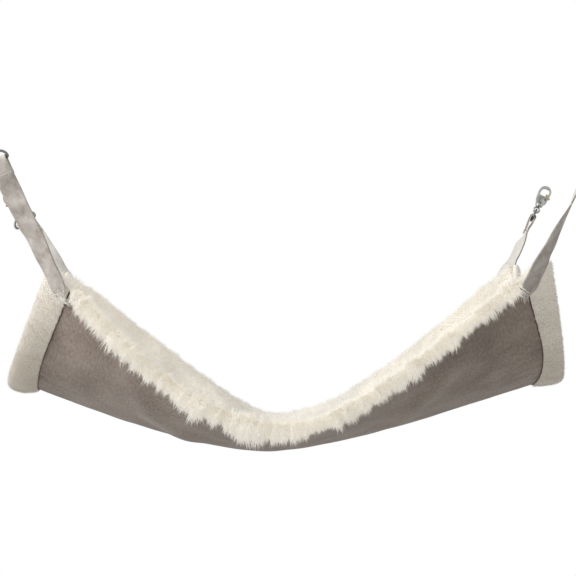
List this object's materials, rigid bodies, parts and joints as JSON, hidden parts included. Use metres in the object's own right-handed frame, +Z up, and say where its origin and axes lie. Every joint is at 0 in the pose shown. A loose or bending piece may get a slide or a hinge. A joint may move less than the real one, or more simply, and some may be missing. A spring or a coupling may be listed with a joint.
{
  "type": "hanging cat bed",
  "caption": "Hammock cat bed of suede-like cloth lined with long-pile fleece, slung from corner straps that end in D rings and swivel snap clips.",
  "frame": {"origin": "middle of the four places where the snap clips hook on", "axes": "+X along the bed to the right as seen from the front, +Y to the back, +Z up"},
  "size_m": [0.6057, 0.4597, 0.3192],
  "materials": {
    "shell_suede": "taupe microsuede with a short nap, soft and matt",
    "fleece": "cream long-pile plush",
    "strap_suede": "grey-beige microsuede strap, brushed and slightly mottled",
    "strap_backing": "off-white plain cloth on the inner side of the straps",
    "ring_steel": "nickel-plated round wire, a little dull",
    "clip_steel": "nickel-plated die casting with soft edges",
    "gate_metal": "plated brass gate, warm in tone"
  },
  "bodies": {
    "bed": {"outer_shell": "shell_suede", "fleece_lining": "fleece", "left_hem": "fleece", "right_hem": "fleece", "front_left_strap_end": "strap_suede", "front_right_strap_end": "strap_suede", "back_left_strap_end": "strap_suede", "back_right_strap_end": "strap_suede"},
    "front_left_strap_body": {"front_left_strap": "strap_suede", "front_left_strap_lining": "strap_backing"},
    "front_left_ring_body": {"front_left_d_ring": "ring_steel"},
    "front_left_eye_body": {"front_left_swivel_eye": "clip_steel"},
    "front_left_clip_frame": {"front_left_clip_body": "clip_steel", "front_left_gate_pin": "ring_steel", "front_left_gate_spring": "clip_steel"},
    "front_left_gate_body": {"front_left_gate": "gate_metal"},
    "front_right_strap_body": {"front_right_strap": "strap_suede", "front_right_strap_lining": "strap_backing"},
    "front_right_ring_body": {"front_right_d_ring": "ring_steel"},
    "front_right_eye_body": {"front_right_swivel_eye": "clip_steel"},
    "front_right_clip_frame": {"front_right_clip_body": "clip_steel", "front_right_gate_pin": "ring_steel", "front_right_gate_spring": "clip_steel"},
    "front_right_gate_body": {"front_right_gate": "gate_metal"},
    "back_left_strap_body": {"back_left_strap": "strap_suede", "back_left_strap_lining": "strap_backing"},
    "back_left_ring_body": {"back_left_d_ring": "ring_steel"},
    "back_left_eye_body": {"back_left_swivel_eye": "clip_steel"},
    "back_left_clip_frame": {"back_left_clip_body": "clip_steel", "back_left_gate_pin": "ring_steel", "back_left_gate_spring": "clip_steel"},
    "back_left_gate_body": {"back_left_gate": "gate_metal"},
    "back_right_strap_body": {"back_right_strap": "strap_suede", "back_right_strap_lining": "strap_backing"},
    "back_right_ring_body": {"back_right_d_ring": "ring_steel"},
    "back_right_eye_body": {"back_right_swivel_eye": "clip_steel"},
    "back_right_clip_frame": {"back_right_clip_body": "clip_steel", "back_right_gate_pin": "ring_steel", "back_right_gate_spring": "clip_steel"},
    "back_right_gate_body": {"back_right_gate": "gate_metal"}
  },
  "joints": [
    {"name": "front_left_strap_swing", "type": "hinge", "parent": "bed", "child": "front_left_strap_body", "pos_m": [-0.22334, -0.18913, -0.10594], "axis": [-0.6752, 0.7087, -0.2044], "range_deg": [-95, 60]},
    {"name": "front_left_ring_swing", "type": "hinge", "parent": "front_left_strap_body", "child": "front_left_ring_body", "pos_m": [-0.27161, -0.20607, -0.00518], "axis": [-0.8834, 0.2698, -0.3833], "range_deg": [-90, 90]},
    {"name": "front_left_eye_swing", "type": "hinge", "parent": "front_left_ring_body", "child": "front_left_eye_body", "pos_m": [-0.27594, -0.20763, 0.0037], "axis": [-0.8834, 0.2698, -0.3833], "range_deg": [-75, 75]},
    {"name": "front_left_clip_spin", "type": "hinge", "parent": "front_left_eye_body", "child": "front_left_clip_frame", "pos_m": [-0.27613, -0.2077, 0.0041], "axis": [-0.433, -0.1565, 0.8877], "continuous": true},
    {"name": "front_left_gate_open", "type": "hinge", "parent": "front_left_clip_frame", "child": "front_left_gate_body", "pos_m": [-0.28519, -0.20945, 0.01402], "axis": [0, 0.9848, 0.1736], "range_deg": [0, 26], "stiffness_Nm_per_rad": 0.002, "springref_deg": -22.92, "deforming": ["front_left_gate_spring"]},
    {"name": "front_right_strap_swing", "type": "hinge", "parent": "bed", "child": "front_right_strap_body", "pos_m": [0.24086, -0.19148, -0.10447], "axis": [-0.6645, -0.7209, 0.197], "range_deg": [-95, 60]},
    {"name": "front_right_ring_swing", "type": "hinge", "parent": "front_right_strap_body", "child": "front_right_ring_body", "pos_m": [0.28912, -0.20843, -0.0037], "axis": [0.0395, -0.9806, -0.1922], "range_deg": [-90, 90]},
    {"name": "front_right_eye_swing", "type": "hinge", "parent": "front_right_ring_body", "child": "front_right_eye_body", "pos_m": [0.29345, -0.20999, 0.00518], "axis": [0.0395, -0.9806, -0.1922], "range_deg": [-75, 75]},
    {"name": "front_right_clip_spin", "type": "hinge", "parent": "front_right_eye_body", "child": "front_right_clip_frame", "pos_m": [0.29364, -0.21006, 0.00558], "axis": [0.433, -0.1565, 0.8877], "continuous": true},
    {"name": "front_right_gate_open", "type": "hinge", "parent": "front_right_clip_frame", "child": "front_right_gate_body", "pos_m": [0.30269, -0.21181, 0.0155], "axis": [0, -0.9848, -0.1736], "range_deg": [0, 26], "stiffness_Nm_per_rad": 0.002, "springref_deg": -22.92, "deforming": ["front_right_gate_spring"]},
    {"name": "back_left_strap_swing", "type": "hinge", "parent": "bed", "child": "back_left_strap_body", "pos_m": [-0.23532, 0.19459, -0.11022], "axis": [0.6379, 0.7031, 0.314], "range_deg": [-95, 60]},
    {"name": "back_left_ring_swing", "type": "hinge", "parent": "back_left_strap_body", "child": "back_left_ring_body", "pos_m": [-0.27183, 0.20468, -0.05863], "axis": [0.8099, 0.0089, 0.5865], "range_deg": [-90, 90]},
    {"name": "back_left_eye_swing", "type": "hinge", "parent": "back_left_ring_body", "child": "back_left_eye_body", "pos_m": [-0.27763, 0.20638, -0.05065], "axis": [0.8099, 0.0089, 0.5865], "range_deg": [-75, 75]},
    {"name": "back_left_clip_spin", "type": "hinge", "parent": "back_left_eye_body", "child": "back_left_clip_frame", "pos_m": [-0.27789, 0.20645, -0.0503], "axis": [-0.5793, 0.1695, 0.7973], "continuous": true},
    {"name": "back_left_gate_open", "type": "hinge", "parent": "back_left_clip_frame", "child": "back_left_gate_body", "pos_m": [-0.28852, 0.2082, -0.04208], "axis": [0, 0.9781, -0.2079], "range_deg": [0, 26], "stiffness_Nm_per_rad": 0.002, "springref_deg": -22.92, "deforming": ["back_left_gate_spring"]},
    {"name": "back_right_strap_swing", "type": "hinge", "parent": "bed", "child": "back_right_strap_body", "pos_m": [0.23116, 0.19712, -0.11126], "axis": [0.6622, -0.7267, -0.1829], "range_deg": [-95, 60]},
    {"name": "back_right_ring_swing", "type": "hinge", "parent": "back_right_strap_body", "child": "back_right_ring_body", "pos_m": [0.25905, 0.2083, -0.05474], "axis": [0.0424, -0.9814, 0.187], "range_deg": [-90, 90]},
    {"name": "back_right_eye_swing", "type": "hinge", "parent": "back_right_ring_body", "child": "back_right_eye_body", "pos_m": [0.26351, 0.21016, -0.04598], "axis": [0.0424, -0.9814, 0.187], "range_deg": [-75, 75]},
    {"name": "back_right_clip_spin", "type": "hinge", "parent": "back_right_eye_body", "child": "back_right_clip_frame", "pos_m": [0.26371, 0.21025, -0.04559], "axis": [0.4461, 0.1861, 0.8754], "continuous": true},
    {"name": "back_right_gate_open", "type": "hinge", "parent": "back_right_clip_frame", "child": "back_right_gate_body", "pos_m": [0.27291, 0.21231, -0.03587], "axis": [0, -0.9781, 0.2079], "range_deg": [0, 26], "stiffness_Nm_per_rad": 0.002, "springref_deg": -22.92, "deforming": ["back_right_gate_spring"]}
  ]
}
